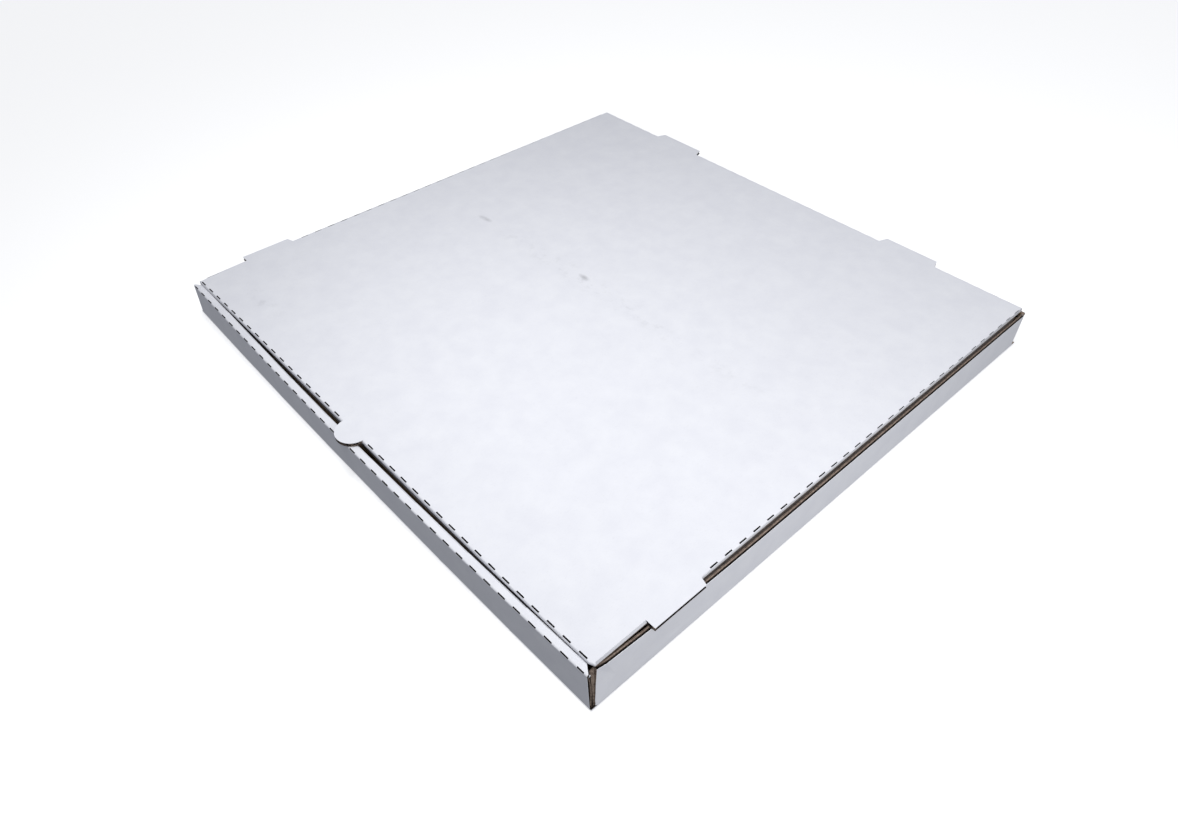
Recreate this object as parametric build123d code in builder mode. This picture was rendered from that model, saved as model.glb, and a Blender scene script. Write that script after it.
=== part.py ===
# Pizza box folded from one sheet of corrugated board.
# X runs along the front, Y to the hinge at the back and Z up. The origin is on the table below the middle.
import os
from math import asin, cos, hypot, sin

from build123d import *

os.makedirs("parts", exist_ok=True)

# Board and the air left where folded layers lie together
board = 2.8
layer_gap = 0.3
lid_rest = 0.3
fold_radius = 1.2
base_fold_radius = 2.0

# Overall sizes of the folded box
tray_width = 475.4
tray_depth = 459.0
box_height = 34.0

# Rolled front wall: its foot and top are pulled in at the corners, and its top bulges out in the middle
roll_gap = 0.4
roll_foot_gap = 3.6
foot_pull = 2.4
corner_pull = 3.6
front_bulge = 1.1
panel_end_inset = 1.3
lock_tab_length = 40.0
lock_tab_spacing = 220.0

# Side walls lean in over their front stretch, where the ears pull them
side_lean = 3.0
side_lean_length = 140.0
front_ear_length = 55.0
front_ear_height = 21.0
rear_ear_length = 60.0
ear_top_drop = 3.0
ear_fold_step = 1.1
corner_dip = 6.0

# Lid and its tuck flaps
side_gap = 1.7
front_gap = 2.7
flap_depth = 25.0
flap_end_slant = 8.0
flap_step = 0.3
front_flap_inset = 12.0
front_flap_gap = 1.2
front_flap_lean = 8.2
perforation_inset = 0.9

# Tabs that stay in the plane of the lid
thumb_radius = 12.4
side_tab_start = 38.7
side_tab_length = 44.3
side_tab_reach = 6.6
back_tab_width = 52.5
back_tab_spacing = 262.0
back_tab_reach = 7.3
tab_slant = 2.6

# Perforating rule: one cut and one uncut crease to each pitch
perforation_pitch = 12.7
perforation_cut = 6.1
perforation_width = 0.9
front_perforation_start = 20.9
front_perforations = 17
side_perforations = 22
side_perforations_rear = 6
side_perforation_start = 93.5
rule_joint = 18.2
perforation_depth = hypot(board, board) + layer_gap

# Heights
wall_top = box_height - board - lid_rest
lid_under = box_height - board
flap_bottom = lid_under - flap_depth

# Depths. The thumb tab and the back tabs reach furthest, and the origin is midway between their tips.
roll_width = 2 * board + roll_gap
lid_setback = roll_width + front_gap - front_bulge
fold_setback = lid_setback + perforation_inset
thumb_overhang = thumb_radius - fold_setback
overall_depth = thumb_overhang + tray_depth + back_tab_reach
front_y = thumb_overhang - overall_depth / 2
back_y = front_y + tray_depth
lid_front = front_y + lid_setback
lid_fold = front_y + fold_setback
hinge_gap = lid_rest / 2
lid_back = back_y - hinge_gap

# Widths, from the middle outwards
tray_half = tray_width / 2
wall_inside = tray_half - board
lid_half = wall_inside - side_gap
lid_fold_x = lid_half - perforation_inset
panel_foot_half = tray_half - panel_end_inset
panel_top_half = tray_half - side_lean - panel_end_inset / 2
inner_panel_half = wall_inside - side_lean - layer_gap
lean_end = front_y + side_lean_length
relief_end = front_y + corner_pull + roll_width + 2 * layer_gap


def rise(z):
    """Share of the walls' lean that is reached at height z, complete below the front wall's flat top."""
    return (z - board) / (wall_top - 2 * board)


def front_point(x, inset, share):
    """Plan point of the front wall, inset from its outer face: on arcs that bow more from the foot to the top."""
    y = front_y - share * front_bulge
    sagitta = foot_pull + share * (corner_pull + front_bulge - foot_pull)
    radius = (panel_top_half**2 + sagitta**2) / (2 * sagitta)
    turn = asin(x / radius)
    return ((radius - inset) * sin(turn), y + radius - (radius - inset) * cos(turn))


def front_strip(z, share, start, end, inset, thickness):
    """Plan of one layer of the front wall at height z, from start to end along it."""
    rows = []
    for depth in (inset, inset + thickness):
        rows.append([front_point(x, depth, share) for x in (start, (start + end) / 2, end)])
    with BuildSketch(Plane.XY.offset(z)) as strip:
        with BuildLine():
            ThreePointArc(*rows[0])
            ThreePointArc(*rows[1])
            Line(rows[0][0], rows[1][0])
            Line(rows[0][2], rows[1][2])
        make_face()
    return strip.sketch


def leaning_strip(z):
    """Plan of the right side wall's front stretch at height z, where it leans in towards the corner."""
    lean = side_lean * rise(z) / rise(wall_top)
    front_end = front_y + board + layer_gap + foot_pull + rise(z) * (corner_pull - foot_pull)
    with BuildSketch(Plane.XY.offset(z)) as strip:
        with BuildLine():
            for outside in (tray_half, wall_inside):
                if lean > 0:
                    TangentArc((outside, lean_end), (outside - lean, front_end), tangent=(0, -1))
                else:
                    Line((outside, lean_end), (outside, front_end))
            Line((tray_half, lean_end), (wall_inside, lean_end))
            Line((tray_half - lean, front_end), (wall_inside - lean, front_end))
        make_face()
    return strip.sketch


def fold_strip(z):
    """Plan, at height z, of what the right front ear's fold is pressed away by on its outside."""
    lean = side_lean * rise(z) / rise(wall_top)
    foot = front_y + board + 2 * layer_gap + foot_pull
    fold_y = foot + (relief_end - foot) * (z - board) / (wall_top - board)
    with BuildSketch(Plane.XY.offset(z)) as strip:
        with Locations((tray_half - lean - ear_fold_step, front_y)):
            Rectangle(tray_half, fold_y - front_y, align=(Align.MIN, Align.MIN))
    return strip.sketch


def slit(along, inward, points):
    """Cut one row of perforations: each cut lies along the fold and goes inward through the board."""
    with Locations(*[Plane(origin=point, x_dir=along, z_dir=inward) for point in points]):
        Box(perforation_cut, perforation_width, 2 * perforation_depth, mode=Mode.SUBTRACT)


# Flat top of the rolled front wall, rounded at both of its folds
roll_under = wall_top - board
with BuildPart() as roll_top:
    extrude(front_strip(roll_under, 1, -panel_top_half, panel_top_half, 0, roll_width), amount=board)
    roll_folds = roll_top.faces().sort_by(Axis.Z)[-1].edges()
    fillet(roll_folds.filter_by(lambda edge: edge.length > tray_half), radius=fold_radius)

# Base, with rounded folds underneath
with BuildPart() as base:
    with BuildSketch(Plane.XY):
        with BuildLine():
            left_corner = front_point(-tray_half, 0, 0)
            right_corner = front_point(tray_half, 0, 0)
            ThreePointArc(left_corner, (0, front_y), right_corner)
            Polyline(right_corner, (tray_half, back_y), (-tray_half, back_y), left_corner)
        make_face()
    extrude(amount=board)
    fillet(base.faces().sort_by(Axis.Z)[0].edges(), radius=base_fold_radius)

# Tray: side walls and ears are made on the right and mirrored
with BuildPart() as tray:
    loft([leaning_strip(board), leaning_strip(wall_top)], ruled=True)
    rear_end = back_y - board - layer_gap
    with BuildSketch(Plane.XY.offset(board)):
        with Locations((tray_half - board / 2, (lean_end + rear_end) / 2)):
            Rectangle(board, rear_end - lean_end)
    extrude(amount=wall_top - board)
    upright = tray.edges().filter_by(lambda edge: abs(edge.tangent_at(0.5).Z) > 0.9).sort_by(Axis.Y)
    ear_folds = [upright[:2].sort_by(Axis.X)[-1], upright[-2:].sort_by(Axis.X)[-1]]
    fillet(ear_folds, radius=base_fold_radius)

    # The wall's top dips at its front corner and passes below the end of the rolled front wall
    relief_floor = wall_top - board - 2 * layer_gap
    with BuildSketch(Plane.YZ):
        with BuildLine():
            Polyline(
                (relief_end + corner_dip, wall_top),
                (relief_end + corner_dip, wall_top + board),
                (front_y, wall_top + board),
                (front_y, relief_floor),
                (relief_end, relief_floor),
                close=True,
            )
        make_face()
    extrude(amount=tray_width, mode=Mode.SUBTRACT)

    # The outside of the ear's fold leans back from the foot to the end of the roll
    loft([fold_strip(0), fold_strip(wall_top + board)], ruled=True, mode=Mode.SUBTRACT)

    # Front ear, pressed thin towards its top where the rolled wall grips it
    ear_foot = board + layer_gap
    ear_top = ear_foot + front_ear_height
    ear_sections = []
    for z in (ear_foot, ear_top):
        share = rise(z)
        thickness = min(board, roll_foot_gap - share * (roll_foot_gap - roll_gap) - 2 * layer_gap)
        ear_fold = wall_inside - share * side_lean + board / 2
        ear_end = wall_inside - front_ear_length
        ear_sections.append(front_strip(z, share, ear_end, ear_fold, board + layer_gap, thickness))
    loft(ear_sections, ruled=True)

    # Rear ear, flat against the back wall
    with BuildSketch(Plane.XZ.offset(-(back_y - board - layer_gap))):
        with BuildLine():
            Polyline(
                (wall_inside + board / 2, board + layer_gap),
                (wall_inside + board / 2, wall_top - ear_top_drop),
                (wall_inside - rear_ear_length + flap_end_slant, wall_top - ear_top_drop),
                (wall_inside - rear_ear_length, board + layer_gap),
                close=True,
            )
        make_face()
    extrude(amount=board)
    mirror(about=Plane.YZ)

    add(base.part)

    # Back wall, notched where the back tabs of the lid were cut out of it
    with BuildSketch(Plane.XY.offset(board)):
        with Locations((0, back_y - board / 2)):
            Rectangle(2 * panel_foot_half, board)
    extrude(amount=wall_top - board)
    notch_depth = hypot(back_tab_reach, board + hinge_gap) + 2 * layer_gap - hinge_gap
    with BuildSketch(Plane.XZ.offset(-back_y)):
        with Locations((-back_tab_spacing / 2, wall_top), (back_tab_spacing / 2, wall_top)):
            Rectangle(back_tab_width + 2 * layer_gap, 2 * notch_depth)
    extrude(amount=board, mode=Mode.SUBTRACT)

    # Outer panel of the front wall
    outer_foot = front_strip(board, 0, -panel_foot_half, panel_foot_half, 0, board)
    outer_top = front_strip(roll_under, 1, -panel_top_half, panel_top_half, 0, board)
    loft([outer_foot, outer_top], ruled=True)

    # Inner panel, which stands on the base and locks into it with two tabs
    inner_foot = board + layer_gap
    inset_foot = board + roll_foot_gap
    inset_top = board + roll_gap
    inner_start = front_strip(inner_foot, 0, -inner_panel_half, inner_panel_half, inset_foot, board)
    inner_top = front_strip(roll_under, 1, -inner_panel_half, inner_panel_half, inset_top, board)
    loft([inner_start, inner_top], ruled=True)
    for middle in (-lock_tab_spacing / 2, lock_tab_spacing / 2):
        start = middle - lock_tab_length / 2
        end = middle + lock_tab_length / 2
        slot_inset = inset_foot - layer_gap
        slot_width = board + 2 * layer_gap
        extrude(
            front_strip(0, 0, start - layer_gap, end + layer_gap, slot_inset, slot_width),
            amount=board,
            mode=Mode.SUBTRACT,
        )
        extrude(front_strip(layer_gap, 0, start, end, inset_foot, board), amount=inner_foot)

    # Narrow flat top that joins the two panels, with ends that slant in behind the outer one
    add(roll_top.part)
    with BuildSketch(Plane.XY.offset(roll_under)):
        for side in (-1, 1):
            slant_start = front_point(side * panel_top_half, fold_radius, 1)
            slant_end = front_point(side * inner_panel_half, roll_width, 1)
            with BuildLine():
                Polyline(
                    slant_start,
                    slant_end,
                    (slant_end[0], slant_end[1] + layer_gap),
                    (side * tray_half, slant_end[1] + layer_gap),
                    (side * tray_half, slant_start[1]),
                    close=True,
                )
            make_face()
    extrude(amount=board, mode=Mode.SUBTRACT)

    # Perforations of the front fold, which follow its bow
    last_cut = int((panel_top_half - perforation_cut / 2) / perforation_pitch)
    front_cuts = [perforation_pitch * i for i in range(-last_cut, last_cut + 1)]
    slit((1, 0, 0), (0, 1, -1), [(*front_point(x, 0, 1), wall_top) for x in front_cuts])

    # Perforations of the hinge, in the top edge of the back wall
    tab_clear = (back_tab_width + perforation_cut) / 2
    hinge_cuts = [x for x in front_cuts[1:-1] if abs(abs(x) - back_tab_spacing / 2) > tab_clear]
    slit((1, 0, 0), (0, 1, 0), [(x, back_y, wall_top) for x in hinge_cuts])

tray.part.label = "tray"
export_step(tray.part, "parts/tray.step")

# Lid: the flaps are made first, cut where the tabs were taken out of them, and joined to the panel
side_tab_end = side_tab_start + side_tab_length
fold_z = box_height - perforation_inset
with BuildPart() as lid:
    # Front flap, bowed at its fold as the rolled front wall that it tucks behind, and straight at its foot
    flap_half = lid_fold_x - front_flap_inset
    flap_mid_y = lid_front + flap_step
    flap_end_y = front_y + corner_pull + roll_width + front_flap_gap
    with BuildSketch(Plane.XY.offset(lid_under)) as flap_top:
        with BuildLine():
            for y in (0, board):
                ThreePointArc((-flap_half, flap_end_y + y), (0, flap_mid_y + y), (flap_half, flap_end_y + y))
            Line((-flap_half, flap_end_y), (-flap_half, flap_end_y + board))
            Line((flap_half, flap_end_y), (flap_half, flap_end_y + board))
        make_face()
    with BuildSketch(Plane.XY.offset(flap_bottom)) as flap_foot:
        with Locations((0, lid_front + front_flap_lean + board / 2)):
            Rectangle(2 * flap_half, board)
    loft([flap_top.sketch, flap_foot.sketch], ruled=True)
    with BuildSketch(Plane.XZ.offset(-lid_front)):
        with BuildLine():
            Polyline(
                (-flap_half, lid_under),
                (flap_half, lid_under),
                (flap_half - flap_end_slant, flap_bottom),
                (flap_end_slant - flap_half, flap_bottom),
                close=True,
            )
        make_face()
        with Locations((0, fold_z)):
            Circle(thumb_radius, mode=Mode.SUBTRACT)
    extrude(amount=-tray_depth, mode=Mode.INTERSECT)

    # Side flaps, from the side tabs to the rear ears
    flap_rear = back_y - 2 * board - 2 * layer_gap
    with BuildSketch(Plane.YZ.offset(lid_half - board)):
        with BuildLine():
            Polyline(
                (lid_fold + side_tab_start, lid_under),
                (flap_rear, lid_under),
                (flap_rear - flap_end_slant, flap_bottom),
                (lid_fold + side_tab_start + flap_end_slant, flap_bottom),
                close=True,
            )
        make_face()
        with Locations((lid_fold + side_tab_start + side_tab_length / 2, fold_z)):
            Rectangle(side_tab_length + 2 * layer_gap, 2 * side_tab_reach, mode=Mode.SUBTRACT)
    extrude(amount=board)
    mirror(about=Plane.YZ)

    # Top panel with its tabs, in one outline
    with BuildSketch(Plane.XY.offset(lid_under)):
        with Locations((0, (lid_front + lid_back) / 2)):
            Rectangle(2 * lid_half, lid_back - lid_front)
        corner_depth = lid_fold + side_tab_start - lid_front
        for side in (-1, 1):
            with Locations((side * (lid_half + lid_fold_x) / 2, lid_front + corner_depth / 2)):
                Rectangle(perforation_inset, corner_depth, mode=Mode.SUBTRACT)
            with BuildLine():
                Polyline(
                    (side * (lid_fold_x - board), lid_fold + side_tab_start),
                    (side * (lid_fold_x + side_tab_reach), lid_fold + side_tab_start),
                    (side * (lid_fold_x + side_tab_reach), lid_fold + side_tab_end - tab_slant),
                    (side * (lid_half - board), lid_fold + side_tab_end),
                    close=True,
                )
            make_face()
            tab_middle = side * back_tab_spacing / 2
            with BuildLine():
                Polyline(
                    (tab_middle - back_tab_width / 2, lid_back - board),
                    (tab_middle - back_tab_width / 2, lid_back),
                    (tab_middle - back_tab_width / 2 + tab_slant, back_y + back_tab_reach),
                    (tab_middle + back_tab_width / 2 - tab_slant, back_y + back_tab_reach),
                    (tab_middle + back_tab_width / 2, lid_back),
                    (tab_middle + back_tab_width / 2, lid_back - board),
                    close=True,
                )
            make_face()
        with Locations((0, lid_fold)):
            Circle(thumb_radius)
    extrude(amount=board)

    # Rounded folds of the lid's top
    top_edges = lid.edges().filter_by_position(Axis.Z, fold_z, box_height)
    along_x = top_edges.filter_by(Axis.X)
    along_y = top_edges.filter_by(Axis.Y)
    front_folds = along_x.filter_by_position(Axis.Y, lid_front - layer_gap, lid_front + layer_gap)
    back_folds = along_x.filter_by_position(Axis.Y, lid_back - hinge_gap, lid_back + hinge_gap)
    side_folds = along_y.filter_by(lambda edge: abs(abs(edge.center().X) - lid_half) < layer_gap)
    fillet(front_folds + back_folds + side_folds, radius=fold_radius)

    # Perforations of the front and side folds
    cut_run = board - perforation_inset
    for side in (-1, 1):
        front_steps = [front_perforation_start + perforation_pitch * i for i in range(front_perforations)]
        front_x = [side * step for step in front_steps]
        slit((1, 0, 0), (0, cut_run, -board), [(x, lid_fold, box_height) for x in front_x])
        start = lid_fold + side_perforation_start
        side_y = [start + perforation_pitch * i for i in range(side_perforations)]
        rear_start = side_y[-1] + rule_joint
        side_y += [rear_start + perforation_pitch * i for i in range(side_perforations_rear)]
        slit((0, 1, 0), (-side * cut_run, 0, -board), [(side * lid_fold_x, y, box_height) for y in side_y])
    slit((1, 0, 0), (0, 0, 1), [(x, lid_back, box_height) for x in hinge_cuts])

lid.part.label = "lid"
export_step(lid.part, "parts/lid.step")
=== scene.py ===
# Pizza box of white-lined corrugated board: the looks of the folded box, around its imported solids.
import math

import bmesh
import bpy
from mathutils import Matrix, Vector


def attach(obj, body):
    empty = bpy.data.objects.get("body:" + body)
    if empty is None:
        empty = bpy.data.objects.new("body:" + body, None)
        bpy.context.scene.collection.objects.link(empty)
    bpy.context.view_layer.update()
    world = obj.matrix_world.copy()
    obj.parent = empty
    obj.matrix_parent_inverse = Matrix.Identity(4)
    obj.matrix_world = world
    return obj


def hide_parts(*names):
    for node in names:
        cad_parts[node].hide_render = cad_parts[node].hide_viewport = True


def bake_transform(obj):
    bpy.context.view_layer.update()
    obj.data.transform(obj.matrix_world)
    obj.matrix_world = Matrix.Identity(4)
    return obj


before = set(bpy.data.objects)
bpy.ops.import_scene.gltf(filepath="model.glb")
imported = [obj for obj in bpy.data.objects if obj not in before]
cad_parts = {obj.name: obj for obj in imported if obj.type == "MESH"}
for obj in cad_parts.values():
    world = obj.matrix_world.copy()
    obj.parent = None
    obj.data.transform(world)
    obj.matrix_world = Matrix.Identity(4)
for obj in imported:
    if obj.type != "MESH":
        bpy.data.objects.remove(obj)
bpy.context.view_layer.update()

# Tray. The base, two single side walls, the back wall and the front wall, which is rolled over on itself.
# It is one die-cut sheet of single-wall corrugated board, with a white liner outside and a brown one inside.
# It holds together by its folds alone: the front wall grips the corner ears and locks into the base.
MM = 0.001
NEAR = 0.1  # how close a face lies to the plane that it belongs to
BOARD = 2.8
FLUTE_PITCH = 6.3
FLUTE_DEPTH = 2.4
LINER_RIM = 0.25
NARROWEST_OPENING = 0.6
WALL_TOP = 30.9
FRONT_Y = -231.2
BACK_Y = 227.8
TRAY_HALF = 237.7
PANEL_FOOT_HALF = 236.4
PANEL_TOP_HALF = 234.05
INNER_PANEL_HALF = 231.6
FOOT_PULL = 2.4
CORNER_PULL = 3.6
FRONT_BULGE = 1.1
FRONT_DEPTH = 10.0
ROLL_WIDTH = 6.0
ROLL_FOLD = 1.3
ROLL_END = -221.3
DIP_START = -215.0
DIP_END = -221.0
DIP_DEPTH = 3.4
DIP_CLOSING = 0.75
EAR_FOLD_FOOT = -225.4
EAR_PULL = 2.0
ROLL_PULL = 1.0
ROLL_CORNER_PULL = 3.0
PINCH_START = -213.0
PINCH_LENGTH = 8.4
SLACK = 1.3
SLACK_START = -100.0
SLACK_LENGTH = 134.0
SIDE_INNER = 231.0
SIDE_OUTER = 234.3
SIDE_LEAN = 3.0
LEAN_LENGTH = 129.6
LEAN_END = -91.2
SIDE_TOP_START = -220.7
SIDE_TOP_END = 224.3
REAR_EAR_END = 174.9
REAR_EAR_SLANT = 10.0
REAR_EAR_DEPTH = 7.0
REAR_EAR_LOW = 20.0
REAR_EAR_HIGH = 29.0
NOTCH_CENTRE = 131.0
NOTCH_HALF = 26.55
NOTCH_FLOOR = 22.6
# Kinds of face. The fourth kind is painted shade, a dark stand-in for the shade in hollows, cuts and gaps.
WHITE, BROWN, CUT, SHADED, EDGE = range(5)


def linear(code):
    """Linear colour of an sRGB hex value."""
    parts = [int(code[i : i + 2], 16) / 255 for i in (1, 3, 5)]
    return tuple(c / 12.92 if c <= 0.04045 else ((c + 0.055) / 1.055) ** 2.4 for c in parts) + (1.0,)


def add(tree, kind, inputs=None, **settings):
    """Add one node: settings go on the node itself, inputs are plain values or the sockets that feed them."""
    made = tree.nodes.new(kind)
    for name, value in settings.items():
        setattr(made, name, value)
    for name, value in (inputs or {}).items():
        if isinstance(value, bpy.types.NodeSocket):
            tree.links.new(value, made.inputs[name])
        else:
            made.inputs[name].default_value = value
    return made


def liner_paper(name, light, dark, fleck, roughness, fleck_share, ribbing):
    """Liner of corrugated board: paper with 14 mm pulp clouds and 0.9 mm fibres along the sheet.
    The flutes under it print through as faint ribs. Matt, with a slight sheen where it was calendered."""
    material = bpy.data.materials.new(name)
    material.use_nodes = True
    tree = material.node_tree
    paper = tree.nodes["Principled BSDF"]
    place = add(tree, "ShaderNodeTexCoord").outputs["Object"]
    cloud = add(tree, "ShaderNodeTexNoise", {"Vector": place, "Scale": 1 / (14 * MM), "Detail": 4.0})
    along = add(tree, "ShaderNodeMapping", {"Vector": place, "Scale": (1.0, 0.35, 1.0)})
    fibre = add(
        tree,
        "ShaderNodeTexNoise",
        {"Vector": along.outputs[0], "Scale": 1 / (0.9 * MM), "Detail": 3.0, "Roughness": 0.7},
    )
    rib = add(tree, "ShaderNodeTexWave", {"Vector": place, "Scale": math.tau / (20 * FLUTE_PITCH * MM)})
    clouds = add(tree, "ShaderNodeMapRange", {0: cloud.outputs[0], 1: 0.3, 2: 0.7})
    tone = add(
        tree, "ShaderNodeMix", {0: clouds.outputs[0], 6: linear(light), 7: linear(dark)}, data_type="RGBA"
    )
    flecks = add(tree, "ShaderNodeMapRange", {0: fibre.outputs[0], 1: 0.56, 2: 0.8, 4: fleck_share})
    colour = add(
        tree,
        "ShaderNodeMix",
        {0: flecks.outputs[0], 6: tone.outputs[2], 7: linear(fleck)},
        data_type="RGBA",
    )
    relief = add(
        tree, "ShaderNodeMath", {0: rib.outputs[1], 1: ribbing, 2: fibre.outputs[0]}, operation="MULTIPLY_ADD"
    )
    bump = add(tree, "ShaderNodeBump", {"Height": relief.outputs[0], "Strength": 0.25, "Distance": 0.05 * MM})
    tree.links.new(colour.outputs[2], paper.inputs["Base Color"])
    tree.links.new(bump.outputs[0], paper.inputs["Normal"])
    paper.inputs["Roughness"].default_value = roughness
    paper.inputs["IOR"].default_value = 1.45
    paper.inputs["Specular IOR Level"].default_value = 0.3
    return material


def cut_board(name, light, dark):
    """Die-cut edge of brown board: crushed fibre with no coating, streaked every 1.5 mm, quite matt."""
    material = bpy.data.materials.new(name)
    material.use_nodes = True
    tree = material.node_tree
    paper = tree.nodes["Principled BSDF"]
    place = add(tree, "ShaderNodeTexCoord").outputs["Object"]
    streak = add(tree, "ShaderNodeTexNoise", {"Vector": place, "Scale": 1 / (1.5 * MM), "Detail": 5.0})
    streaks = add(tree, "ShaderNodeMapRange", {0: streak.outputs[0], 1: 0.35, 2: 0.65})
    tone = add(
        tree, "ShaderNodeMix", {0: streaks.outputs[0], 6: linear(light), 7: linear(dark)}, data_type="RGBA"
    )
    bump = add(tree, "ShaderNodeBump", {"Height": streak.outputs[0], "Strength": 0.5, "Distance": 0.15 * MM})
    tree.links.new(tone.outputs[2], paper.inputs["Base Color"])
    tree.links.new(bump.outputs[0], paper.inputs["Normal"])
    paper.inputs["Roughness"].default_value = 0.85
    paper.inputs["Specular IOR Level"].default_value = 0.2
    return material


white_liner = liner_paper("white_top_liner", "#e8e9ee", "#e2e3e9", "#cdcdd1", 0.62, 0.25, 0.5)
brown_liner = liner_paper("unbleached_kraft_liner", "#a38a6c", "#937b5f", "#6c5742", 0.75, 0.5, 0.8)
cut_edge = cut_board("die_cut_board_edge", "#8f8074", "#5f524a")
# Painted shade: a near-black copy of the cut edge, put on the floors and sides of the opened flutes, in the
# fold cuts and in the gaps, where only shade falls.
shade_paint = cut_board("fluted_hollow_fibre", "#2b231e", "#181310")


def front_line(x, z):
    """Depth of the front wall's outer face, which bows out more from its foot to its top."""
    share = min(max((z - BOARD) / (WALL_TOP - 2 * BOARD), 0), 1)
    bow = FOOT_PULL + share * (CORNER_PULL + FRONT_BULGE - FOOT_PULL)
    return FRONT_Y - share * FRONT_BULGE + bow * (x / PANEL_TOP_HALF) ** 2


def tray_face(place, normal):
    """Which side of the board a face of the tray shows: white, brown, a plain cut, painted shade or an open
    fluted edge."""
    x, y, z = place
    out = math.copysign(1, x) * normal.x
    front = y - front_line(x, z)
    back = BACK_Y - y
    if z < BOARD - 0.01:
        outside = front < NEAR or back < NEAR or abs(x) > TRAY_HALF - NEAR
        return WHITE if normal.z < -0.05 or outside else CUT
    ear_fold = EAR_FOLD_FOOT + (DIP_END - EAR_FOLD_FOOT) * (z - BOARD) / (WALL_TOP - BOARD)
    if front > BOARD and abs(x) > INNER_PANEL_HALF + 0.5 and y < ear_fold + 0.2 and z < WALL_TOP - BOARD:
        return CUT
    if front < FRONT_DEPTH:
        rolled_top = z > WALL_TOP - BOARD - 0.01 and front < ROLL_WIDTH + 0.2
        if out > 0.7 and abs(x) > INNER_PANEL_HALF - 0.2 and (rolled_top or front < BOARD):
            return EDGE
        # On the roll's top, faces that are neither flat nor on its folds' rounding get painted shade.
        if rolled_top:
            fold = front < ROLL_FOLD if normal.y < 0 else front > ROLL_WIDTH - ROLL_FOLD
            fold = fold and normal.z > 0.02 and abs(normal.x) < 0.2
            return WHITE if fold or max(abs(normal.y), normal.z) > 0.95 else SHADED
        if normal.y < -0.7 and front < 1.6 * BOARD:
            return WHITE
        if normal.y > 0.7 and front > 1.5 * BOARD and z > BOARD + 0.3:
            return WHITE
    if abs(x) > SIDE_INNER and back > BOARD:
        if normal.z > 0.8 and z > WALL_TOP - DIP_DEPTH + NEAR and y > DIP_END:
            return EDGE
        if out > 0.05 and abs(x) > SIDE_OUTER and abs(normal.z) < 0.5:
            return WHITE
    if back < BOARD + NEAR:
        if normal.y > 0.7:
            return WHITE
        if out > 0.7 and abs(x) > PANEL_FOOT_HALF - NEAR:
            return EDGE
        in_notch = abs(abs(x) - NOTCH_CENTRE) < NOTCH_HALF + NEAR and NOTCH_FLOOR - 1 < z < WALL_TOP - 1
        if in_notch and abs(normal.y) < 0.3:
            return EDGE
    if back < REAR_EAR_DEPTH and abs(x) < TRAY_HALF - BOARD:
        if normal.y > 0.7 and back > BOARD:
            return WHITE
        if normal.z > 0.7 and REAR_EAR_LOW < z < REAR_EAR_HIGH:
            return EDGE
        if out < -0.5 and abs(x) < REAR_EAR_END + REAR_EAR_SLANT:
            return EDGE
    # Upward faces at the front ends of the side walls, down beside the roll, get painted shade.
    if normal.z > 0.3 and abs(x) > SIDE_INNER and y < ROLL_END + 1:
        return SHADED
    if normal.z > 0.9 and z < BOARD + 0.2 or out < -0.7 or abs(normal.y) > 0.7:
        return BROWN
    return CUT


def pinched(place):
    """Where a point of the tray comes to rest at the front corners. The roll's grip pulls the ears in at the
    top, its own ends by half of that and the back corners of its top by more, and the dip in the side wall's
    top closes up. The left end of the roll has some slack, so it is pulled back less than the right end."""
    x, y, z = place
    if z < BOARD or y > PINCH_START:
        return Vector(place)
    height = (z - BOARD) / (WALL_TOP - BOARD)
    slack = SLACK * height * (max(SLACK_START - x, 0) / SLACK_LENGTH) ** 2
    pull = 0
    if abs(x) > SIDE_INNER:
        front = y - front_line(x, z)
        rolled_top = z > WALL_TOP - BOARD - NEAR and y < ROLL_END + NEAR
        rolled = front < BOARD + NEAR or rolled_top
        pull = (ROLL_PULL if rolled else EAR_PULL) * height * min((PINCH_START - y) / PINCH_LENGTH, 1) ** 2
        if rolled_top and front > ROLL_WIDTH - 1.5:
            pull += ROLL_CORNER_PULL
        if not rolled and y > DIP_END - 0.6 and z > WALL_TOP - DIP_DEPTH - NEAR:
            z += DIP_CLOSING * (WALL_TOP - z)
    return Vector((x - math.copysign(pull, x), y - slack, z))


def upright(place):
    """No lean: the tray's cut edges are square to their walls."""
    return Vector()


def merged(solid):
    """A solid's loose triangles, joined to one surface."""
    work = bmesh.new()
    work.from_mesh(solid)
    bmesh.ops.remove_doubles(work, verts=work.verts, dist=0.002 * MM)
    return work


def as_mesh(work, name):
    """A finished surface as a mesh."""
    mesh = bpy.data.meshes.new(name)
    work.to_mesh(mesh)
    work.free()
    return mesh


def new_object(name, mesh):
    """A mesh put in the scene, at the origin."""
    made = bpy.data.objects.new(name, mesh)
    bpy.context.scene.collection.objects.link(made)
    return made


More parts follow.
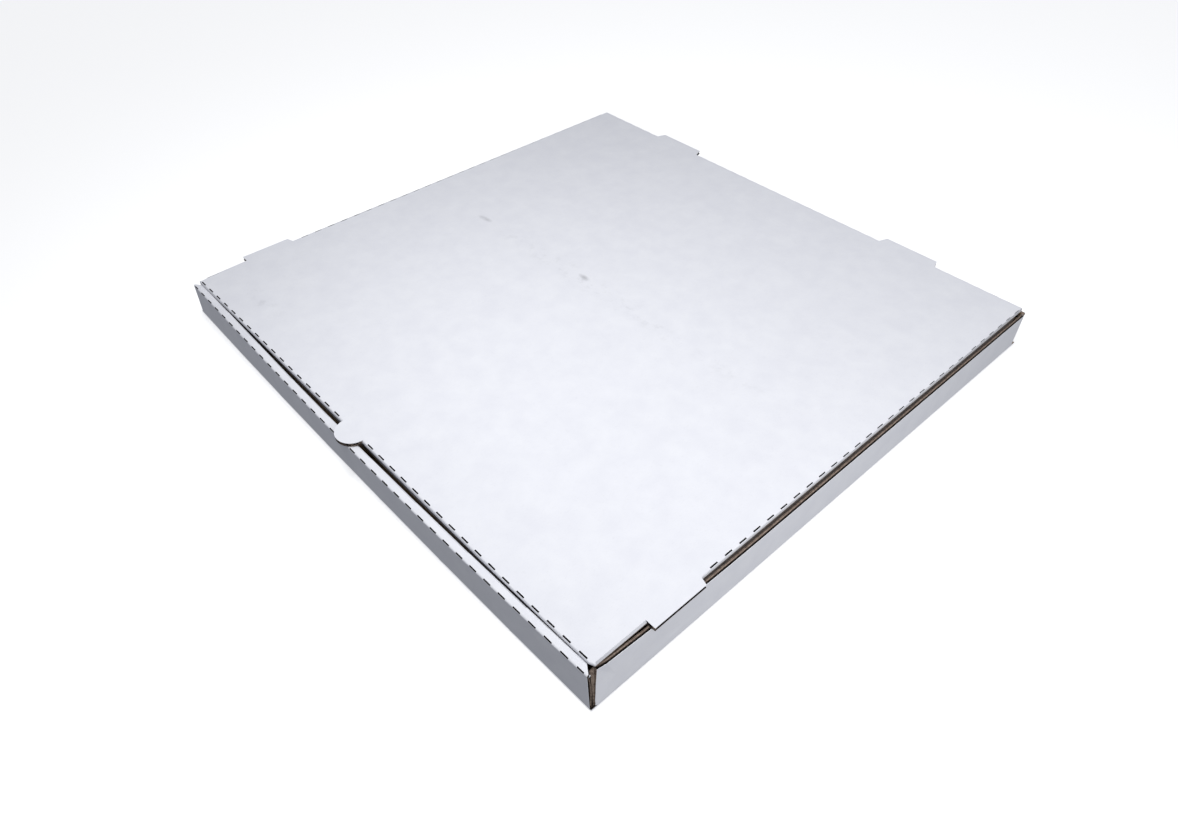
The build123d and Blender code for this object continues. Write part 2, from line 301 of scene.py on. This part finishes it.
def folded_board(solid, name, face_side, rest, lean, columns, levels, materials):
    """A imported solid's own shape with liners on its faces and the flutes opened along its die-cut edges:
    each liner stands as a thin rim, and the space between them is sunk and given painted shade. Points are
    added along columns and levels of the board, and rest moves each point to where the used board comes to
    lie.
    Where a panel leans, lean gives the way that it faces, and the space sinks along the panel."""
    work = merged(solid)
    slices = [((x, 0, 0), (1, 0, 0)) for x in columns] + [((0, 0, z), (0, 0, 1)) for z in levels]
    for place, way in slices:
        whole = work.verts[:] + work.edges[:] + work.faces[:]
        bmesh.ops.bisect_plane(work, geom=whole, plane_co=Vector(place) * MM, plane_no=way, dist=0.01 * MM)
    work.normal_update()
    low = [min(vert.co[i] for vert in work.verts) for i in range(3)]
    high = [max(vert.co[i] for vert in work.verts) for i in range(3)]
    for face in work.faces:
        side = face_side(face.calc_center_median() / MM, face.normal)
        width = 2 * face.calc_area() / max(edge.calc_length() for edge in face.edges)
        face.material_index = CUT if side == EDGE and width < NARROWEST_OPENING * MM else side
    for vert in work.verts:
        vert.co = rest(vert.co / MM) * MM
    work.normal_update()
    edges = [face for face in work.faces if face.material_index == EDGE]
    rims, sides = [
        bmesh.ops.inset_region(
            work, faces=edges, thickness=width * MM, use_boundary=True, use_even_offset=False
        )["faces"]
        for width in (LINER_RIM, 0.01)
    ]
    for rim in rims:
        beside = {face.material_index for edge in rim.edges for face in edge.link_faces}
        rim.material_index = WHITE if WHITE in beside else CUT
    # Painted shade on the floor and sides of each sunk opening, where the flutes lie in shade.
    for face in sides + edges:
        face.material_index = SHADED
    sunk = set(edges)
    for vert in {vert for face in edges for vert in face.verts}:
        outward = sum((face.normal for face in vert.link_faces if face in sunk), Vector())
        facing = lean(vert.co / MM)
        outward -= facing * outward.dot(facing)
        vert.co -= FLUTE_DEPTH * MM * outward.normalized()
    for vert in work.verts:
        vert.co = [min(max(vert.co[i], low[i]), high[i]) for i in range(3)]
    work.normal_update()
    rounded = [max(abs(n) for n in face.normal) < 0.985 and face.material_index < CUT for face in work.faces]
    mesh = as_mesh(work, name)
    mesh.set_sharp_from_angle(angle=math.radians(25))
    mesh.polygons.foreach_set("use_smooth", rounded)
    for material in materials:
        mesh.materials.append(material)
    return new_object(name, mesh)


board_papers = [white_liner, brown_liner, cut_edge, shade_paint]
tray_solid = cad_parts["tray"].data
tray_board = folded_board(tray_solid, "tray_board_sheet", tray_face, pinched, upright, [], [], board_papers)
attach(tray_board, "tray")
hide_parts("tray")

# Fluted medium of the tray. A thin brown paper wave glued between the two liners, 6.3 mm from crest to crest.
# It shows only where the board was cut: as a wave across the flutes, and as a straight line along them.
FLUTE_HEIGHT = 1.85
MEDIUM_THICKNESS = 0.24
RIBBON_DEPTH = 2.2
RIBBON_CENTRE = 1.25
EDGE_INSET = 0.45
medium_paper = cut_board("semi_chemical_fluting", "#a08f82", "#6f6158")


def fluting_tree():
    """Geometry Nodes: cut edges, as lines in the middle of the board, become ribbons of the fluted medium."""
    tree = bpy.data.node_groups.new("fluted_medium", "GeometryNodeTree")
    tree.is_modifier = True
    tree.interface.new_socket("Geometry", in_out="OUTPUT", socket_type="NodeSocketGeometry")
    tree.interface.new_socket("Geometry", in_out="INPUT", socket_type="NodeSocketGeometry")
    for name in ("Flute pitch", "Flute height", "Paper thickness", "Ribbon depth", "Point spacing"):
        tree.interface.new_socket(name, in_out="INPUT", socket_type="NodeSocketFloat")
    tree.interface.new_socket("Paper", in_out="INPUT", socket_type="NodeSocketMaterial")
    given = add(tree, "NodeGroupInput").outputs
    line = add(tree, "GeometryNodeMeshToCurve", {"Mesh": given["Geometry"]})
    spaced = add(
        tree,
        "GeometryNodeResampleCurve",
        {"Curve": line.outputs[0], "Length": given["Point spacing"]},
        mode="LENGTH",
    )
    flute = add(tree, "GeometryNodeInputNamedAttribute", {"Name": "flute"}, data_type="FLOAT")
    across = add(tree, "GeometryNodeInputNamedAttribute", {"Name": "across"}, data_type="FLOAT_VECTOR")
    inward = add(tree, "GeometryNodeInputNamedAttribute", {"Name": "inward"}, data_type="FLOAT_VECTOR")
    turns = add(tree, "ShaderNodeMath", {0: flute.outputs[0], 1: given["Flute pitch"]}, operation="DIVIDE")
    angle = add(tree, "ShaderNodeMath", {0: turns.outputs[0], 1: math.tau}, operation="MULTIPLY")
    wave = add(tree, "ShaderNodeMath", {0: angle.outputs[0]}, operation="SINE")
    half = add(tree, "ShaderNodeMath", {0: given["Flute height"], 1: 0.5}, operation="MULTIPLY")
    lift = add(tree, "ShaderNodeMath", {0: wave.outputs[0], 1: half.outputs[0]}, operation="MULTIPLY")
    offset = add(
        tree, "ShaderNodeVectorMath", {0: across.outputs[0], "Scale": lift.outputs[0]}, operation="SCALE"
    )
    waved = add(tree, "GeometryNodeSetPosition", {"Geometry": spaced.outputs[0], "Offset": offset.outputs[0]})
    turned = add(
        tree,
        "GeometryNodeSetCurveNormal",
        {"Curve": waved.outputs[0], "Normal": inward.outputs[0]},
        mode="FREE",
    )
    section = add(
        tree,
        "GeometryNodeCurvePrimitiveQuadrilateral",
        {"Width": given["Ribbon depth"], "Height": given["Paper thickness"]},
    )
    ribbon = add(
        tree,
        "GeometryNodeCurveToMesh",
        {"Curve": turned.outputs[0], "Profile Curve": section.outputs[0], "Fill Caps": True},
    )
    whole = add(tree, "GeometryNodeRealizeInstances", {"Geometry": ribbon.outputs[0]})
    finished = add(
        tree, "GeometryNodeSetMaterial", {"Geometry": whole.outputs[0], "Material": given["Paper"]}
    )
    add(tree, "NodeGroupOutput", {"Geometry": finished.outputs[0]})
    return tree


fluting = fluting_tree()


def plain_mesh(piece):
    """A piece's shape with its modifiers worked in, as a mesh of its own."""
    bpy.context.view_layer.update()
    return bpy.data.meshes.new_from_object(piece.evaluated_get(bpy.context.evaluated_depsgraph_get()))


def applied(piece, tree, values):
    """The piece with a tree's result as its mesh, and no modifier left."""
    modifier = piece.modifiers.new(tree.name, "NODES")
    modifier.node_group = tree
    for item in tree.interface.items_tree:
        if item.in_out == "INPUT" and item.name in values:
            modifier[item.identifier] = values[item.name]
    result = plain_mesh(piece)
    piece.modifiers.remove(modifier)
    piece.data = result
    result.name = piece.name
    return piece


def fluted_edges(name, edges):
    """Ribbons of the medium along cut edges. Each edge has its points in mm, its way inward or a list of one
    for each point, the way across the board and the way across the flutes."""
    mesh = bpy.data.meshes.new(name)
    points, lines, inwards, acrosses, flutes = [], [], [], [], []
    for path, inward, across, flute_way in edges:
        first = len(points)
        ways = inward if isinstance(inward, list) else [inward] * len(path)
        for point, way in zip(path, ways):
            points.append((Vector(point) + RIBBON_CENTRE * Vector(way).normalized()) * MM)
            inwards.append(Vector(way).normalized())
            acrosses.append(Vector(across))
            flutes.append(Vector(point).dot(Vector(flute_way)) * MM)
        lines += [(i, i + 1) for i in range(first, len(points) - 1)]
    mesh.from_pydata(points, lines, [])
    mesh.attributes.new("flute", "FLOAT", "POINT").data.foreach_set("value", flutes)
    for label, vectors in (("across", acrosses), ("inward", inwards)):
        numbers = [number for vector in vectors for number in vector]
        mesh.attributes.new(label, "FLOAT_VECTOR", "POINT").data.foreach_set("vector", numbers)
    values = {
        "Flute pitch": FLUTE_PITCH * MM,
        "Flute height": FLUTE_HEIGHT * MM,
        "Paper thickness": MEDIUM_THICKNESS * MM,
        "Ribbon depth": RIBBON_DEPTH * MM,
        "Point spacing": 0.5 * MM,
        "Paper": medium_paper,
    }
    return applied(new_object(name, mesh), fluting, values)


tray_edges = []
lean_radius = (SIDE_LEAN**2 + LEAN_LENGTH**2) / (2 * SIDE_LEAN)
top_middle = TRAY_HALF - BOARD / 2 - EDGE_INSET
back_middle = BACK_Y - BOARD / 2
for side in (-1, 1):
    top_line = []
    for i in range(41):
        y = SIDE_TOP_START + (LEAN_END - SIDE_TOP_START) * i / 40
        lean = lean_radius - math.sqrt(lean_radius**2 - (y - LEAN_END) ** 2)
        z = WALL_TOP - DIP_DEPTH * max(0, (DIP_START - y) / (DIP_START - DIP_END))
        top_line.append(pinched((side * (top_middle - lean), y, z)))
    top_line.append((side * top_middle, SIDE_TOP_END, WALL_TOP))
    tray_edges.append((top_line, (0.4 * side, 0, -1), (side, 0, 0), (0, 0, 1)))
    panel_end = []
    for half, z in ((PANEL_FOOT_HALF, BOARD + 0.5), (PANEL_TOP_HALF, WALL_TOP - BOARD - 0.1)):
        panel_end.append(pinched((side * half, front_line(half, z) + BOARD / 2, z)))
    tray_edges.append((panel_end, (-side, 0, 0), (0, 1, 0), (1, 0, 0)))
    back_end = [(side * PANEL_FOOT_HALF, back_middle, z) for z in (BOARD + 0.5, WALL_TOP - 0.5)]
    tray_edges.append((back_end, (-side, 0, 0), (0, 1, 0), (1, 0, 0)))
    notch_ends = [side * NOTCH_CENTRE + x for x in (0.4 - NOTCH_HALF, NOTCH_HALF - 0.4)]
    notch = [(x, back_middle, NOTCH_FLOOR + 0.01) for x in notch_ends]
    tray_edges.append((notch, (0, 0, -1), (0, 1, 0), (1, 0, 0)))
tray_flutes = fluted_edges("tray_fluting", tray_edges)
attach(tray_flutes, "tray")

# Lid. The top panel with its thumb tab, side tabs and back tabs, and three flaps that tuck inside the walls.
# It is cut from the tray's sheet. Its creases are perforated, so the folds are crisp and the tabs stay flat.
LID_TOP = 34.0
LID_UNDER = 31.2
LID_FRONT = -223.6
LID_FOLD = -222.7
LID_BACK = 227.65
LID_HALF = 233.2
LID_FOLD_X = 232.3
FOLD_CUT_INNER = 0.6
FOLD_CUT_OUTER = 0.4
NARROWING = 0.6
NARROWING_START = -100.0
NARROWING_LENGTH = 250.0
THUMB_RADIUS = 12.4
THUMB_START = 185
THUMB_SWEEP = 170
SIDE_TAB_START = -184.0
SIDE_TAB_END = -139.7
SIDE_TAB_OUT = 238.9
SIDE_TAB_DRAW = 0.4
SIDE_TAB_SETBACK = 0.9
BACK_TAB_OUT = 235.1
BACK_TAB_HALF = 23.2
CRUSHED_FOOT = 32.1
CRUSH = 0.9
FOLD_LEVEL = 33.1
FRONT_FLAP_BACK = -205.0
FLAP_HALF = 220.3
FLAP_BOTTOM = 6.2
FLAP_SLANT = 8.0
FLAP_LEAN = 17.0
SIDE_FLAP_START = -190.0
SIDE_FLAP_INNER = 223.0
SIDE_FLAP_OUTER = 228.0
HUNG_LEVEL = 29.4
HUNG_INSET = 0.9
CORNER_START = 140.0
CORNER_WIDTH = 93.0
CORNER_DEPTH = 25.0
RIGHT_CORNER_BACK = 1.0
RIGHT_UNDER_BACK = 1.0
LEFT_CORNER_BACK = -0.7
TIP_X = 230.0
TIP_Y = -220.0
RIGHT_TIP_BACK = 1.4
LEFT_TIP_IN = 2.2
OVERCUT = 0.1
KNIFE_REACH = 4.0
KNIFE_FRONT = -224.5
KNIFE_BACK = -210.0


def knife_cuts():
    """What the knife takes out of the front flap: the half round of the thumb tab, and its slanted ends.
    Each cut goes a little past its line."""
    top = LID_UNDER + 0.02
    below = FLAP_BOTTOM - 1
    radius = THUMB_RADIUS + OVERCUT
    start = math.asin((FOLD_LEVEL - top) / radius)
    turns = [math.pi + start + (math.pi - 2 * start) * i / 32 for i in range(33)]
    outlines = [[(radius * math.cos(t), FOLD_LEVEL + radius * math.sin(t)) for t in turns]]
    for side in (-1, 1):
        insets = (OVERCUT, FLAP_SLANT + OVERCUT, -KNIFE_REACH)
        head, foot, outer = [side * (FLAP_HALF - inset) for inset in insets]
        outlines.append([(head, top), (outer, top), (outer, below), (foot, below), (foot, FLAP_BOTTOM)])
    work = bmesh.new()
    for outline in outlines:
        near, far = [
            [work.verts.new(Vector((x, y, z)) * MM) for x, z in outline] for y in (KNIFE_FRONT, KNIFE_BACK)
        ]
        for i in range(len(outline)):
            work.faces.new((near[i - 1], near[i], far[i], far[i - 1]))
        work.faces.new(near)
        work.faces.new(far)
    bmesh.ops.recalc_face_normals(work, faces=work.faces)
    return as_mesh(work, "knife_cuts")


def cut_out(solid, cuts):
    """A copy of a solid's shape with the cuts taken out of it."""
    piece = new_object("cut_out", as_mesh(merged(solid), "cut_out"))
    knife = new_object("knife", cuts)
    modifier = piece.modifiers.new("cut_out", "BOOLEAN")
    modifier.operation = "DIFFERENCE"
    modifier.solver = "EXACT"
    modifier.object = knife
    result = plain_mesh(piece)
    for item in (piece, knife):
        bpy.data.objects.remove(item)
    return result


def lid_face(place, normal):
    """Which side of the board a face of the lid shows. The walls of the perforated folds' cuts, and faces
    near the lid's front and side edges, get painted shade.
    """
    x, y, z = place
    out = math.copysign(1, x) * normal.x
    # The walls of the perforation cuts get painted shade.
    if normal.z > 0.05 and z > LID_TOP - 1.3:
        return SHADED if out < -0.3 or normal.y > 0.3 and y < FRONT_FLAP_BACK else WHITE
    if z > LID_UNDER and abs(normal.z) < 0.3:
        if y < LID_FRONT - NEAR or abs(x) > LID_HALF + NEAR or y > LID_BACK + 0.3:
            return EDGE
        if out > 0.9 and y < SIDE_TAB_START and abs(abs(x) - LID_FOLD_X) < 0.05:
            return WHITE if z > CRUSHED_FOOT else CUT
        if normal.y < -0.9 and y < LID_FRONT + NEAR or out > 0.9 and abs(x) > LID_HALF - NEAR:
            return WHITE
        if normal.y > 0.9 and y > LID_BACK - NEAR:
            return WHITE
    if normal.z < -0.9 and z > LID_UNDER - 1:
        return BROWN
    if z < LID_UNDER:
        if abs(x) > SIDE_FLAP_INNER and y > SIDE_FLAP_START:
            if abs(normal.x) > 0.9:
                return WHITE if out > 0 else BROWN
        elif y < FRONT_FLAP_BACK and abs(normal.y) > 0.7:
            return WHITE if normal.y < 0 else BROWN
        if z < LID_UNDER - 1:
            return EDGE
    # Other faces within 5 mm of the lid's front and side edges get painted shade, as in the gaps below the
    # folds.
    return SHADED if y < LID_FRONT + 5 or abs(x) > LID_HALF - 5 else CUT


def at_rest(place):
    """Where a point of the lid comes to rest. The side flaps hang inside their folds, the knife pressed the
    top liner over the cut edges beside the front corners, the cuts of the side folds close up towards the
    back, and the side tabs are drawn in and their front ends back. The lid sits a little askew: its right
    front corner is drawn back, most at the tip and under the fold, and its left one stands forward with its
    tip bent in."""
    x, y, z = place
    side = math.copysign(1, x)
    if abs(x) > SIDE_FLAP_OUTER and y > SIDE_FLAP_START and z < LID_UNDER:
        x -= HUNG_INSET * side * min((LID_UNDER - z) / (LID_UNDER - HUNG_LEVEL), 1)
    if y < SIDE_TAB_START + NEAR and LID_FOLD_X - NEAR < abs(x) < LID_HALF and z > LID_TOP - NEAR:
        x -= CRUSH * side
    if LID_FOLD_X - FOLD_CUT_INNER < abs(x) < LID_FOLD_X + FOLD_CUT_OUTER and z > LID_TOP - 0.3:
        backwards = min(max((y - NARROWING_START) / NARROWING_LENGTH, 0), 1)
        x += NARROWING * side * (LID_FOLD_X + FOLD_CUT_OUTER - abs(x)) * backwards
    if abs(x) > LID_HALF + 0.05 and y < SIDE_TAB_END:
        x -= SIDE_TAB_DRAW * side
    if abs(x) > LID_FOLD_X - 1 and abs(y - SIDE_TAB_START) < NEAR:
        y += SIDE_TAB_SETBACK
    if abs(x) > CORNER_START and y < SIDE_FLAP_START:
        share = (abs(x) - CORNER_START) / CORNER_WIDTH
        if x > 0 and y < LID_FRONT + NEAR and z < CRUSHED_FOOT - NEAR:
            y += RIGHT_UNDER_BACK * share
        if x > TIP_X and y < TIP_Y:
            y += RIGHT_TIP_BACK
        if x < -TIP_X and y < TIP_Y:
            x += LEFT_TIP_IN
        back = RIGHT_CORNER_BACK if side > 0 else LEFT_CORNER_BACK
        y += back * share**2 * min((SIDE_FLAP_START - y) / CORNER_DEPTH, 1)
    return Vector((x, y, z))


def flap_lean(place):
    """The way that the leaning front flap faces. The rest of the lid's panels are square."""
    if place.y > FRONT_FLAP_BACK or place.z > LID_UNDER:
        return Vector()
    turn = math.radians(FLAP_LEAN)
    return Vector((0, -math.cos(turn), -math.sin(turn)))


def rubbed_liner():
    """White top liner of the lid: as the walls' liner, with grey rub marks across the middle and near a front
    corner, where bundles of flat blanks chafe. A mark has a centre, a reach and a turn, and its strength and
    how much of the 9 mm grain it spares."""
    material = liner_paper("white_top_liner_rubbed", "#e8e9ee", "#e3e4ea", "#cdcdd1", 0.62, 0.25, 0.5)
    tree = material.node_tree
    paper = tree.nodes["Principled BSDF"]
    colour = paper.inputs["Base Color"].links[0].from_socket
    place = next(n for n in tree.nodes if n.type == "TEX_COORD").outputs["Object"]
    grain = add(
        tree,
        "ShaderNodeTexNoise",
        {"Vector": place, "Scale": 1 / (9 * MM), "Detail": 6.0, "Roughness": 0.7},
    )
    for centre, reach, turn, share, low in (
        ((-20, 3), (185, 13), 0, 0.3, 0.52),
        ((-172, -200), (45, 9), 0, 0.25, 0.5),
        ((-150, 2), (9, 3.2), 6, 0.5, 0.3),
        ((-25, 6), (8, 3.0), -4, 0.5, 0.3),
        ((140, 2), (45, 9), 0, 0.12, 0.5),
    ):
        spot = add(
            tree,
            "ShaderNodeMapping",
            {
                "Vector": place,
                "Location": (centre[0] * MM, centre[1] * MM, LID_TOP * MM),
                "Rotation": (0, 0, math.radians(turn)),
                "Scale": (reach[0] * MM, reach[1] * MM, 0.02),
            },
            vector_type="TEXTURE",
        )
        fade = add(tree, "ShaderNodeTexGradient", {0: spot.outputs[0]}, gradient_type="SPHERICAL")
        rub = add(tree, "ShaderNodeMapRange", {0: grain.outputs[0], 1: low, 2: low + 0.25, 4: share})
        amount = add(tree, "ShaderNodeMath", {0: fade.outputs[1], 1: rub.outputs[0]}, operation="MULTIPLY")
        colour = add(
            tree, "ShaderNodeMix", {0: amount.outputs[0], 6: colour, 7: linear("#8a8a8d")}, data_type="RGBA"
        ).outputs[2]
    tree.links.new(colour, paper.inputs["Base Color"])
    return material


lid_papers = [rubbed_liner(), brown_liner, cut_edge, shade_paint]
lid_columns = [side * x for side in (-1, 1) for x in (CORNER_START, 165, 190, 210, 229)]
lid_levels = [CRUSHED_FOOT, LID_UNDER, HUNG_LEVEL]
lid_solid = cut_out(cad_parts["lid"].data, knife_cuts())
lid_board = folded_board(
    lid_solid, "lid_board_sheet", lid_face, at_rest, flap_lean, lid_columns, lid_levels, lid_papers
)
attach(lid_board, "lid")
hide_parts("lid")

# Fluted medium of the lid, open to view round the thumb tab, at the front ends of the side tabs and along the
# back tabs. All of these cut across the flutes, so their wave shows.
lid_middle = LID_TOP - BOARD / 2
thumb_line, thumb_inward = [], []
for i in range(49):
    turn = math.radians(THUMB_START + THUMB_SWEEP * i / 48)
    thumb_line.append((THUMB_RADIUS * math.cos(turn), LID_FOLD + THUMB_RADIUS * math.sin(turn), lid_middle))
    thumb_inward.append((-math.cos(turn), -math.sin(turn), 0))
lid_edges = [(thumb_line, thumb_inward, (0, 0, 1), (1, 0, 0))]
for side in (-1, 1):
    tab_ends = [side * x for x in (LID_FOLD_X + 0.6, SIDE_TAB_OUT - 0.8)]
    tab_front = [(x, SIDE_TAB_START + SIDE_TAB_SETBACK, lid_middle) for x in tab_ends]
    lid_edges.append((tab_front, (0, 1, 0), (0, 0, 1), (1, 0, 0)))
    tab_back = [(side * NOTCH_CENTRE + x, BACK_TAB_OUT, lid_middle) for x in (-BACK_TAB_HALF, BACK_TAB_HALF)]
    lid_edges.append((tab_back, (0, -1, 0), (0, 0, 1), (1, 0, 0)))
lid_flutes = fluted_edges("lid_fluting", lid_edges)
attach(lid_flutes, "lid")

# Hinge. The white liner runs on from the back wall to the lid, and is cut through every half inch.
# Only the short bridges between the cuts hold the two together. On the real box they bend as the lid turns;
# here they are built as they lie with the lid shut.
HINGE_PITCH = 12.7
BRIDGE_WIDTH = 6.6
END_BRIDGES = ((159.8, 0.65), (222.25, 1.0), (228.8, 0.97))  # place and share of the width
LINER = 0.12
LINER_LIFT = 0.02
FOLD_RADIUS = 1.2


def hinge_bridge():
    """One bridge of liner, laid just over the wall's face and round the lid's back fold."""
    clear = LINER_LIFT + LINER / 2
    wall, lid = BACK_Y + clear, LID_BACK + clear
    fold_y, fold_z, radius = LID_BACK - FOLD_RADIUS, LID_TOP - FOLD_RADIUS, FOLD_RADIUS + clear
    middle = [(wall, z) for z in (27.5, 29.0, 30.4, 30.7, 31.0)]
    middle += [(wall - 0.02, 31.3), (wall - 0.08, 31.7), (lid, 32.2), (lid, fold_z)]
    for degrees in (15, 30, 45, 60):
        turn = math.radians(degrees)
        middle.append((fold_y + radius * math.cos(turn), fold_z + radius * math.sin(turn)))
    work = bmesh.new()
    rings = []
    for i, (y, z) in enumerate(middle):
        before, after = middle[max(i - 1, 0)], middle[min(i + 1, len(middle) - 1)]
        way = Vector((after[0] - before[0], after[1] - before[1])).normalized() * LINER / 2
        ring = []
        for x, side in ((-1, -1), (1, -1), (1, 1), (-1, 1)):
            place = Vector((x * BRIDGE_WIDTH / 2, y + side * way[1], z - side * way[0]))
            ring.append(work.verts.new(place * MM))
        rings.append(ring)
    for low, high in zip(rings, rings[1:]):
        for i in range(4):
            work.faces.new((low[i], low[(i + 1) % 4], high[(i + 1) % 4], high[i]))
    work.faces.new(rings[0])
    work.faces.new(rings[-1])
    bmesh.ops.recalc_face_normals(work, faces=work.faces)
    return bpy.data.objects.new("hinge_bridge", as_mesh(work, "hinge_bridge"))


def hinge_tree():
    """Geometry Nodes: one bridge at each point, as wide as the point says."""
    tree = bpy.data.node_groups.new("perforated_hinge", "GeometryNodeTree")
    tree.is_modifier = True
    tree.interface.new_socket("Geometry", in_out="OUTPUT", socket_type="NodeSocketGeometry")
    tree.interface.new_socket("Geometry", in_out="INPUT", socket_type="NodeSocketGeometry")
    tree.interface.new_socket("Bridge", in_out="INPUT", socket_type="NodeSocketObject")
    tree.interface.new_socket("Paper", in_out="INPUT", socket_type="NodeSocketMaterial")
    given = add(tree, "NodeGroupInput").outputs
    points = add(tree, "GeometryNodeMeshToPoints", {"Mesh": given["Geometry"]})
    bridge = add(tree, "GeometryNodeObjectInfo", {"Object": given["Bridge"]})
    share = add(tree, "GeometryNodeInputNamedAttribute", {"Name": "share"}, data_type="FLOAT")
    size = add(tree, "ShaderNodeCombineXYZ", {"X": share.outputs[0], "Y": 1.0, "Z": 1.0})
    placed = add(
        tree,
        "GeometryNodeInstanceOnPoints",
        {"Points": points.outputs[0], "Instance": bridge.outputs["Geometry"], "Scale": size.outputs[0]},
    )
    whole = add(tree, "GeometryNodeRealizeInstances", {"Geometry": placed.outputs[0]})
    finished = add(
        tree, "GeometryNodeSetMaterial", {"Geometry": whole.outputs[0], "Material": given["Paper"]}
    )
    add(tree, "NodeGroupOutput", {"Geometry": finished.outputs[0]})
    return tree


places = [HINGE_PITCH * (i + 0.5) for i in range(-17, 17)]
bridges = [(x, 1.0) for x in places if abs(abs(x) - NOTCH_CENTRE) > NOTCH_HALF + BRIDGE_WIDTH / 2]
bridges += [(side * x, share) for side in (-1, 1) for x, share in END_BRIDGES]
hinge_mesh = bpy.data.meshes.new("hinge_bridges")
hinge_mesh.from_pydata([(x * MM, 0, 0) for x, share in bridges], [], [])
shares = [share for x, share in bridges]
hinge_mesh.attributes.new("share", "FLOAT", "POINT").data.foreach_set("value", shares)
hinge = new_object("hinge_bridges", hinge_mesh)
bridge_shape = hinge_bridge()
applied(hinge, hinge_tree(), {"Bridge": bridge_shape, "Paper": white_liner})
bpy.data.objects.remove(bridge_shape)
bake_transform(hinge)

# Floor and light. A pale sweep under soft studio light: a broad light overhead, a small soft box above the
# front half, one beside the right wall, and a weak even fill. The floor gives no light back, so the front
# wall stays in shade.
floor_mesh = bpy.data.meshes.new("floor")
floor_mesh.from_pydata([(-6, -6, 0), (6, -6, 0), (6, 6, 0), (-6, 6, 0)], [], [(0, 1, 2, 3)])
floor = new_object("floor", floor_mesh)
pale = bpy.data.materials.new("pale_floor")
pale.use_nodes = True
sweep = pale.node_tree.nodes["Principled BSDF"].inputs
sweep["Base Color"].default_value = linear("#f4f4f4")
sweep["Roughness"].default_value = 1.0
sweep["Emission Color"].default_value = (1, 1, 1, 1)
sweep["Emission Strength"].default_value = 0.45
floor_mesh.materials.append(pale)
floor.visible_diffuse = False
floor.visible_glossy = False

scene = bpy.context.scene
world = bpy.data.worlds.new("studio")
world.use_nodes = True
fill = world.node_tree.nodes["Background"].inputs
fill["Color"].default_value = (0.95, 0.98, 1.06, 1)
fill["Strength"].default_value = 0.284
scene.world = world
scene.view_settings.view_transform = "Standard"


def soft_box(name, place, aim, size, watts):
    """A square studio light that points at a place on the object."""
    lamp = bpy.data.lights.new(name, "AREA")
    lamp.shape = "SQUARE"
    lamp.size = size
    lamp.energy = watts
    stand = bpy.data.objects.new(name, lamp)
    stand.location = place
    stand.rotation_euler = (Vector(aim) - Vector(place)).to_track_quat("-Z", "Y").to_euler()
    stand.visible_camera = False
    scene.collection.objects.link(stand)


soft_box("front_light", (0.0, -0.2, 0.55), (0.25, 0.2, 0.03), 0.25, 1.9)
soft_box("right_light", (0.70, -0.18, 0.245), (0.5, 0.2, 0.03), 0.2, 1.9)
overhead = bpy.data.lights.new("overhead_light", "SUN")
overhead.energy = 0.68
overhead.angle = math.radians(60)
scene.collection.objects.link(bpy.data.objects.new("overhead_light", overhead))

# Camera. It stands at the photograph's viewing angle, close in front of the right corner.
lens = bpy.data.cameras.new("camera")
lens.sensor_fit = "HORIZONTAL"
lens.sensor_width = 36.0
lens.lens = 25.908
lens.clip_start = 0.01
camera = bpy.data.objects.new("camera", lens)
camera.location = (0.39490, -0.37457, 0.42948)
look = Vector((0.09447, -0.09879, 0.0340)) - Vector(camera.location)
camera.rotation_euler = look.to_track_quat("-Z", "Y").to_euler()
scene.collection.objects.link(camera)
scene.camera = camera
